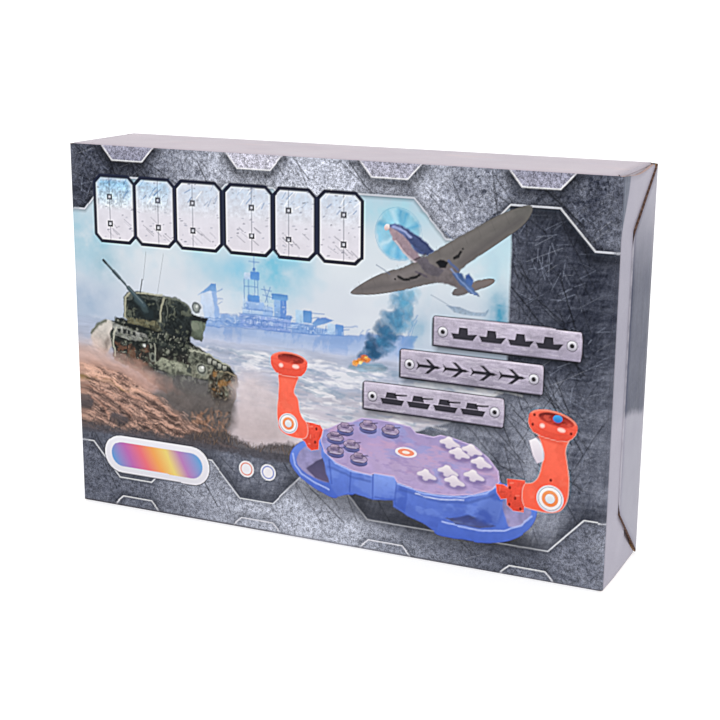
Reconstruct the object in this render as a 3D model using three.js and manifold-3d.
// Printed carton of a tabletop battle game, standing upright, with the game packed inside it.
//
// Units are millimetres. The origin is the centre of the resting face, +Z is up, +X points to
// the right end and -Y to the printed front. The carton is a corrugated tube of four panels,
// closed at each end by two dust flaps, a closure flap and a lock flap with a tongue.

import * as THREE from 'three';
import { mergeVertices } from 'three/addons/utils/BufferGeometryUtils.js';
import Module from 'manifold-3d';

const wasm = await Module();
wasm.setup();

// ---------------------------------------------------------------- driving dimensions

const CARTON_WIDTH = 420;
const CARTON_DEPTH = 82;
const CARTON_HEIGHT = 278;
const BOARD = 1.8;
const GAP = 0.3;

const HALF_WIDTH = CARTON_WIDTH / 2;
const HALF_DEPTH = CARTON_DEPTH / 2;
const FOLD_STEP = BOARD + GAP;

// End closure. Insets are measured from the crease of the flap that has them.
const LOCK_REACH = 53;
const LOCK_TOP_DROP = 38.5;
const LOCK_BOTTOM_RISE = 45;
const LOCK_END_INSET = 0.8;
const NOTCH_CLEARANCE = 0.5;
const CLOSURE_REACH = 78;
const CLOSURE_CORNER = 2;
const TONGUE_LENGTH = 16;
const TONGUE_LEAN = THREE.MathUtils.degToRad(12);
const TONGUE_HALF_WIDTH = 80;
const TONGUE_TAPER = 8;
const DUST_REACH = 50;
const DUST_FRONT_TAPER = 0.52;
const DUST_BACK_TAPER = 0.38;
const GLUE_FLAP_HEIGHT = 30;
const GLUE_FLAP_END_INSET = 14;

// Packing and game.
const CRADLE_HALF_LENGTH = 186;
const SHELF_HEIGHT = 196;
const LEAFLET_HALF_LENGTH = 74;
const LEAFLET_THICKNESS = 1.2;
const BASE_DEPTH = 42;
const BASE_HALF_LENGTH = 137;
const BASE_HALF_HEIGHT = 86;
const TRAY_DEPTH = 20;
const TRAY_HALF_LENGTH = 183;
const TRAY_HALF_HEIGHT = 62;
const MOULDED_WALL = 2.5;
const DECK_THICKNESS = 3;
const DECK_INSET = 6;
const DECK_BADGE_RADIUS = 16;
const BADGE_THICKNESS = 1.5;
const TOKEN_SPOTS = [[95, 8], [70, 44], [64, -40], [46, 4], [28, 54], [24, -52]];
const ARM_LENGTH = 105;
const ARM_THICKNESS = 14;
const ARM_EYE_RADIUS = 21;
const ARM_TIP_HALF_WIDTH = 11;
const ARM_START = 45;
const CUP_DEPTH = 34;
const CUP_RADIUS = 30;
const CUP_STEM_RADIUS = 10;
const CUP_WALL = 2.2;
const BALL_RADIUS = 11;
const LAUNCHER_HEIGHT = 229;
const LAUNCHER_Y = -3;
const KNUCKLE_RADIUS = 8;
const KNUCKLE_RIB_RADIUS = 11;
const KNUCKLE_RIB_STEP = 8;
const PIN_RADIUS = 2.5;
const PIN_LENGTH = 26;
const PIN_HEIGHT = 14;
const TAB_CENTRE = 95;
const TAB_SIZE = [32, 8, 9];
const TAB_DROP = 23.5;

// ---------------------------------------------------------------- materials

function plain(colour, roughness) {
  return new THREE.MeshStandardMaterial({ color: colour, roughness, metalness: 0 });
}

const printedBoard = plain(0xa9a7b2, 0.35);
const bareBoard = plain(0xb08a5e, 0.85);
const bluePlastic = plain(0x5f7dd2, 0.35);
const lilacPlastic = plain(0xaf9bcd, 0.4);
const redPlastic = plain(0xf05a46, 0.35);
const whitePlastic = plain(0xebe1e6, 0.4);
const darkPlastic = plain(0x6d6680, 0.45);
const ballPlastic = plain(0x2f8fd0, 0.3);
const badgePrint = plain(0xe8a04a, 0.5);
const paper = plain(0xf0efe9, 0.8);

// ---------------------------------------------------------------- helpers

const carton = new THREE.Group();

function addMesh(name, geometry, material, position = [0, 0, 0], rotation = [0, 0, 0]) {
  const mesh = new THREE.Mesh(geometry, material);
  mesh.name = name;
  mesh.position.set(...position);
  mesh.rotation.set(...rotation);
  carton.add(mesh);
  return mesh;
}

function addBlock(name, low, high, material) {
  const size = high.map((value, axis) => value - low[axis]);
  const centre = high.map((value, axis) => (value + low[axis]) / 2);
  return addMesh(name, new THREE.BoxGeometry(...size), material, centre);
}

function polygon(points) {
  return new THREE.Shape(points.map(([u, v]) => new THREE.Vector2(u, v)));
}

function extrude(shape, depth, curveSegments = 12) {
  return new THREE.ExtrudeGeometry(shape, { depth, curveSegments, bevelEnabled: false });
}

function oval(halfLength, halfHeight, depth, start = 0) {
  const shape = new THREE.Shape();
  shape.absellipse(0, 0, halfLength, halfHeight, 0, 2 * Math.PI, false, 0);
  return extrude(shape, depth, 24).translate(0, 0, start);
}

function toSolid(geometry) {
  const bare = geometry.clone();
  bare.deleteAttribute('normal');
  bare.deleteAttribute('uv');
  const merged = mergeVertices(bare, 1e-4);
  return new wasm.Manifold(new wasm.Mesh({
    numProp: 3,
    vertProperties: merged.attributes.position.array,
    triVerts: Uint32Array.from(merged.index.array),
  }));
}

function toGeometry(solid) {
  const { vertProperties, triVerts } = solid.getMesh();
  const geometry = new THREE.BufferGeometry();
  geometry.setAttribute('position', new THREE.BufferAttribute(vertProperties, 3));
  geometry.setIndex(new THREE.BufferAttribute(triVerts, 1));
  return geometry;
}

function join(...geometries) {
  const solids = geometries.map(toSolid);
  return toGeometry(solids.reduce((whole, next) => whole.add(next)));
}

function cut(geometry, ...tools) {
  const solids = tools.map(toSolid);
  return toGeometry(solids.reduce((whole, next) => whole.subtract(next), toSolid(geometry)));
}

// An outline drawn in (y, z) and extruded towards +X from the plane x = startX.
function addAlongX(name, outline, startX, length, material) {
  const mesh = addMesh(name, extrude(outline, length), material, [startX, 0, 0]);
  const basis = new THREE.Matrix4().makeBasis(
    new THREE.Vector3(0, 1, 0),
    new THREE.Vector3(0, 0, 1),
    new THREE.Vector3(1, 0, 0),
  );
  mesh.quaternion.setFromRotationMatrix(basis);
}

// ---------------------------------------------------------------- carton tube

function addTube() {
  const backEnd = HALF_WIDTH - FOLD_STEP;
  const frontEnd = HALF_WIDTH - 2 * FOLD_STEP;
  const lidEnd = HALF_WIDTH - 3 * FOLD_STEP;
  const lidHalfDepth = HALF_DEPTH - FOLD_STEP;

  addBlock('front_panel', [-frontEnd, -HALF_DEPTH, 0],
    [frontEnd, BOARD - HALF_DEPTH, CARTON_HEIGHT], printedBoard);
  addBlock('back_panel', [-backEnd, HALF_DEPTH - BOARD, 0],
    [backEnd, HALF_DEPTH, CARTON_HEIGHT], printedBoard);
  addBlock('bottom_panel', [-lidEnd, -lidHalfDepth, 0], [lidEnd, lidHalfDepth, BOARD], printedBoard);
  addBlock('top_panel', [-lidEnd, -lidHalfDepth, CARTON_HEIGHT - BOARD],
    [lidEnd, lidHalfDepth, CARTON_HEIGHT], printedBoard);

  // The glue flap stands on the bottom panel, inside the back panel.
  const flapEnd = lidEnd - 1;
  const outline = polygon([
    [-flapEnd, FOLD_STEP],
    [flapEnd, FOLD_STEP],
    [flapEnd - GLUE_FLAP_END_INSET, GLUE_FLAP_HEIGHT + FOLD_STEP],
    [GLUE_FLAP_END_INSET - flapEnd, GLUE_FLAP_HEIGHT + FOLD_STEP],
  ]);
  addMesh('glue_flap', extrude(outline, BOARD), bareBoard,
    [0, lidHalfDepth, 0], [Math.PI / 2, 0, 0]);
}

// ---------------------------------------------------------------- end closures

// Height of the lock flap's upper and lower edges at a distance from its crease.
function lockTop(reach) {
  return CARTON_HEIGHT - LOCK_END_INSET - LOCK_TOP_DROP * reach / LOCK_REACH;
}

function lockBottom(reach) {
  return LOCK_END_INSET + LOCK_BOTTOM_RISE * reach / LOCK_REACH;
}

function lockOutline() {
  const crease = HALF_DEPTH - GAP;
  const fold = HALF_DEPTH - LOCK_REACH;
  return polygon([
    [crease, lockBottom(0)],
    [crease, lockTop(0)],
    [fold, lockTop(LOCK_REACH)],
    [fold, lockBottom(LOCK_REACH)],
  ]);
}

// The closure flap reaches across the whole end above and below the lock flap, and its notch
// follows the lock flap's slanted edges, so that the two can swing open together.
function closureOutline() {
  const crease = GAP - HALF_DEPTH;
  const tip = CLOSURE_REACH - HALF_DEPTH;
  const notch = HALF_DEPTH - LOCK_REACH - 2 * GAP;
  const tipReach = HALF_DEPTH - tip;
  const low = LOCK_END_INSET;
  const high = CARTON_HEIGHT - LOCK_END_INSET;
  const upper = lockTop(tipReach) + NOTCH_CLEARANCE;
  const lower = lockBottom(tipReach) - NOTCH_CLEARANCE;
  const shape = new THREE.Shape();
  shape.moveTo(crease, low);
  shape.lineTo(tip - CLOSURE_CORNER, low);
  shape.absarc(tip - CLOSURE_CORNER, low + CLOSURE_CORNER, CLOSURE_CORNER, -Math.PI / 2, 0, false);
  shape.lineTo(tip, lower);
  shape.lineTo(notch, lockBottom(LOCK_REACH) - NOTCH_CLEARANCE);
  shape.lineTo(notch, lockTop(LOCK_REACH) + NOTCH_CLEARANCE);
  shape.lineTo(tip, upper);
  shape.lineTo(tip, high - CLOSURE_CORNER);
  shape.absarc(tip - CLOSURE_CORNER, high - CLOSURE_CORNER, CLOSURE_CORNER, 0, Math.PI / 2, false);
  shape.lineTo(crease, high);
  shape.closePath();
  return shape;
}

// A dust flap narrows away from its crease, so that it stays behind the two flaps over it
// as all of them open.
function dustOutline(creaseHeight, inward) {
  const halfDepth = HALF_DEPTH - FOLD_STEP - GAP;
  const frontTip = DUST_FRONT_TAPER * DUST_REACH - halfDepth;
  const backTip = halfDepth - DUST_BACK_TAPER * DUST_REACH;
  const root = creaseHeight + inward * GAP;
  const tip = creaseHeight + inward * DUST_REACH;
  return polygon([[-halfDepth, root], [halfDepth, root], [backTip, tip], [frontTip, tip]]);
}

// The tongue runs inwards from the lock flap's fold and leans back from it, so that its tip
// stays inside the arc of the fold.
function addTongue(name, side) {
  const middle = (lockTop(LOCK_REACH) + lockBottom(LOCK_REACH)) / 2;
  const outline = polygon([
    [0, middle - TONGUE_HALF_WIDTH],
    [TONGUE_LENGTH, middle - TONGUE_HALF_WIDTH + TONGUE_TAPER],
    [TONGUE_LENGTH, middle + TONGUE_HALF_WIDTH - TONGUE_TAPER],
    [0, middle + TONGUE_HALF_WIDTH],
  ]);
  const inward = new THREE.Vector3(-side * Math.cos(TONGUE_LEAN), Math.sin(TONGUE_LEAN), 0);
  const up = new THREE.Vector3(0, 0, 1);
  const across = new THREE.Vector3().crossVectors(inward, up);
  const mesh = addMesh(name, extrude(outline, BOARD), printedBoard);
  mesh.quaternion.setFromRotationMatrix(new THREE.Matrix4().makeBasis(inward, up, across));
  const fold = new THREE.Vector3(
    side * (HALF_WIDTH - FOLD_STEP),
    HALF_DEPTH - LOCK_REACH + BOARD * Math.sin(TONGUE_LEAN),
    0,
  );
  fold.addScaledVector(inward, GAP + BOARD * Math.tan(TONGUE_LEAN));
  if (side < 0) {
    fold.addScaledVector(across, -BOARD);
  }
  mesh.position.copy(fold);
}

function addEnd(endName, side) {
  // Inner x of the board in each layer, counted from the outermost one.
  const layerX = (layer) => {
    const outer = side * (HALF_WIDTH - layer * FOLD_STEP);
    return side > 0 ? outer - BOARD : outer;
  };
  const addFlap = (flapName, outline, layer, material) => addAlongX(
    `${endName}_${flapName}`, outline, layerX(layer), BOARD, material);
  addFlap('lock_flap', lockOutline(), 0, printedBoard);
  addTongue(`${endName}_lock_tongue`, side);
  addFlap('closure_flap', closureOutline(), 1, printedBoard);
  addFlap('dust_flap_top', dustOutline(CARTON_HEIGHT, -1), 2, bareBoard);
  addFlap('dust_flap_bottom', dustOutline(0, 1), 2, bareBoard);
}

// ---------------------------------------------------------------- packing

// An upturned corrugated channel: the game base stands inside it and the launchers lie on it.
function addCradle() {
  const front = GAP + FOLD_STEP - HALF_DEPTH;
  const back = HALF_DEPTH - 2 * FOLD_STEP;
  const foot = FOLD_STEP;
  const top = SHELF_HEIGHT + BOARD;
  const profile = polygon([
    [front, foot],
    [front + BOARD, foot],
    [front + BOARD, SHELF_HEIGHT],
    [back - BOARD, SHELF_HEIGHT],
    [back - BOARD, foot],
    [back, foot],
    [back, top],
    [front, top],
  ]);
  addAlongX('packing_cradle', profile, -CRADLE_HALF_LENGTH, 2 * CRADLE_HALF_LENGTH, bareBoard);
}

function addLeaflet() {
  const back = HALF_DEPTH - 2 * FOLD_STEP;
  addBlock('rules_leaflet', [-LEAFLET_HALF_LENGTH, back - LEAFLET_THICKNESS, SHELF_HEIGHT + FOLD_STEP],
    [LEAFLET_HALF_LENGTH, back, CARTON_HEIGHT - 2 * FOLD_STEP], paper);
}

// ---------------------------------------------------------------- game base and deck

const BASE_BACK_Y = HALF_DEPTH - 2 * FOLD_STEP - BOARD - GAP;
const BASE_CENTRE_Z = FOLD_STEP + GAP + BASE_HALF_HEIGHT;
const DECK_BACK_Y = BASE_BACK_Y - BASE_DEPTH - GAP;
const DECK_FRONT_Y = DECK_BACK_Y - DECK_THICKNESS;
const FACING_FRONT = [Math.PI / 2, 0, 0];

// A hollow oval body, open at the back, over a long oval dish whose ends are the ball trays.
function addBase() {
  const wall = MOULDED_WALL;
  const dish = cut(
    oval(TRAY_HALF_LENGTH, TRAY_HALF_HEIGHT, TRAY_DEPTH),
    oval(TRAY_HALF_LENGTH - wall, TRAY_HALF_HEIGHT - wall, TRAY_DEPTH, wall),
  );
  const body = oval(BASE_HALF_LENGTH, BASE_HALF_HEIGHT, BASE_DEPTH);
  const hollow = oval(BASE_HALF_LENGTH - wall, BASE_HALF_HEIGHT - wall, BASE_DEPTH, -wall);
  addMesh('game_base', cut(join(dish, body), hollow), bluePlastic,
    [0, BASE_BACK_Y, BASE_CENTRE_Z], FACING_FRONT);
}

function addDeck() {
  const deck = oval(BASE_HALF_LENGTH - DECK_INSET, BASE_HALF_HEIGHT - DECK_INSET, DECK_THICKNESS);
  addMesh('play_deck', deck, lilacPlastic, [0, DECK_BACK_Y, BASE_CENTRE_Z], FACING_FRONT);
  const badge = oval(DECK_BADGE_RADIUS, DECK_BADGE_RADIUS, BADGE_THICKNESS);
  addMesh('deck_badge', badge, badgePrint, [0, DECK_FRONT_Y - GAP, BASE_CENTRE_Z], FACING_FRONT);
}

function tankToken() {
  const profile = [[0, 0], [14, 0], [14, 5], [12, 6.5], [12, 10], [0, 10]];
  const hull = new THREE.LatheGeometry(profile.map(([r, h]) => new THREE.Vector2(r, h)), 20);
  const turret = new THREE.CylinderGeometry(5.5, 7, 5, 12).translate(0, 12, 0);
  const barrel = new THREE.CylinderGeometry(1.4, 1.4, 12, 8)
    .rotateZ(Math.PI / 2).translate(8, 12.5, 0);
  return join(hull, turret, barrel);
}

function planeToken() {
  const stem = new THREE.CylinderGeometry(3, 6, 12, 12).translate(0, 6, 0);
  const lobe = (halfLength, halfWidth, x, z) => new THREE.CylinderGeometry(1, 1, 4, 20)
    .scale(halfLength, 1, halfWidth).translate(x, 13, z);
  return join(stem, lobe(17, 4.5, 0, 0), lobe(5, 16, 3, 0), lobe(3, 8, -12, 0));
}

function addTokens() {
  const standing = [Math.PI, 0, 0];
  TOKEN_SPOTS.forEach(([x, z], index) => {
    const height = BASE_CENTRE_Z + z;
    const number = index + 1;
    addMesh(`tank_token_${number}`, tankToken(), darkPlastic,
      [-x, DECK_FRONT_Y - GAP, height], standing);
    addMesh(`plane_token_${number}`, planeToken(), whitePlastic,
      [x, DECK_FRONT_Y - GAP, height], standing);
  });
}

// ---------------------------------------------------------------- launchers

function armOutline() {
  const shape = new THREE.Shape();
  shape.moveTo(ARM_LENGTH, -ARM_TIP_HALF_WIDTH);
  shape.lineTo(ARM_LENGTH, ARM_TIP_HALF_WIDTH);
  shape.absarc(0, 0, ARM_EYE_RADIUS, Math.PI * 0.44, Math.PI * 1.56, false);
  shape.closePath();
  return shape;
}

// A funnel on the +X axis: a thick stem end that flares into a thin-walled mouth.
function cupGeometry() {
  const throat = 12;
  const profile = [
    [0, 0],
    [CUP_STEM_RADIUS, 0],
    [CUP_STEM_RADIUS + 5, throat],
    [CUP_RADIUS - 3, CUP_DEPTH - 8],
    [CUP_RADIUS, CUP_DEPTH],
    [CUP_RADIUS - CUP_WALL, CUP_DEPTH],
    [CUP_RADIUS - 3 - CUP_WALL, CUP_DEPTH - 8],
    [BALL_RADIUS + 1, throat],
    [0, throat - 4],
  ];
  const cup = new THREE.LatheGeometry(profile.map(([r, h]) => new THREE.Vector2(r, h)), 28);
  const holes = [0, 1, 2].map((step) => new THREE.CylinderGeometry(3, 3, 20, 10)
    .rotateX(Math.PI / 2)
    .translate(0, CUP_DEPTH - 12, CUP_RADIUS - 4)
    .rotateY(step * 2 * Math.PI / 3));
  return cut(cup, ...holes).rotateZ(-Math.PI / 2);
}

// A ribbed stub along +Z with a cross hole for its pin.
function knuckleGeometry() {
  const ribCount = 3;
  const profile = [[0, 0]];
  for (let rib = 0; rib < ribCount; rib += 1) {
    const start = rib * KNUCKLE_RIB_STEP;
    const middle = start + KNUCKLE_RIB_STEP / 2;
    profile.push([KNUCKLE_RIB_RADIUS, start], [KNUCKLE_RIB_RADIUS, middle]);
    profile.push([KNUCKLE_RADIUS, middle], [KNUCKLE_RADIUS, start + KNUCKLE_RIB_STEP]);
  }
  profile.push([0, ribCount * KNUCKLE_RIB_STEP]);
  const stub = new THREE.LatheGeometry(profile.map(([r, h]) => new THREE.Vector2(r, h)), 20)
    .rotateX(Math.PI / 2);
  const bore = new THREE.CylinderGeometry(PIN_RADIUS + GAP, PIN_RADIUS + GAP, 2 * PIN_LENGTH, 12)
    .translate(0, 0, PIN_HEIGHT);
  return cut(stub, bore);
}

function addLauncher(sideName, side) {
  const eye = [side * ARM_START, LAUNCHER_Y, LAUNCHER_HEIGHT];
  const turned = side > 0 ? 0 : Math.PI;

  const arm = extrude(armOutline(), ARM_THICKNESS).rotateX(Math.PI / 2)
    .translate(0, ARM_THICKNESS / 2, 0).rotateZ(turned);
  addMesh(`${sideName}_launcher_arm`, arm, redPlastic, eye);

  const badge = oval(ARM_EYE_RADIUS - 5, ARM_EYE_RADIUS - 5, BADGE_THICKNESS);
  addMesh(`${sideName}_arm_badge`, badge, badgePrint,
    [eye[0], LAUNCHER_Y - ARM_THICKNESS / 2 - GAP, LAUNCHER_HEIGHT], FACING_FRONT);

  const cupX = side * (ARM_START + ARM_LENGTH + GAP);
  addMesh(`${sideName}_launcher_cup`, cupGeometry().rotateZ(turned), redPlastic,
    [cupX, LAUNCHER_Y, LAUNCHER_HEIGHT]);

  const ballX = cupX + side * (BALL_RADIUS + 9.5);
  addMesh(`${sideName}_ball`, new THREE.SphereGeometry(BALL_RADIUS, 20, 12), ballPlastic,
    [ballX, LAUNCHER_Y, LAUNCHER_HEIGHT]);

  const knuckleZ = LAUNCHER_HEIGHT + ARM_EYE_RADIUS + 2 * GAP;
  addMesh(`${sideName}_knuckle`, knuckleGeometry(), redPlastic, [eye[0], LAUNCHER_Y, knuckleZ]);
  const pin = new THREE.CylinderGeometry(PIN_RADIUS, PIN_RADIUS, PIN_LENGTH, 12);
  addMesh(`${sideName}_knuckle_pin`, pin, whitePlastic,
    [eye[0], LAUNCHER_Y, knuckleZ + PIN_HEIGHT]);

  addMesh(`${sideName}_trigger_tab`, new THREE.BoxGeometry(...TAB_SIZE), whitePlastic,
    [side * TAB_CENTRE, LAUNCHER_Y, LAUNCHER_HEIGHT - TAB_DROP]);
}

// ---------------------------------------------------------------- assembly

addTube();
addEnd('right', 1);
addEnd('left', -1);
addCradle();
addLeaflet();
addBase();
addDeck();
addTokens();
addLauncher('right', 1);
addLauncher('left', -1);

export default carton;
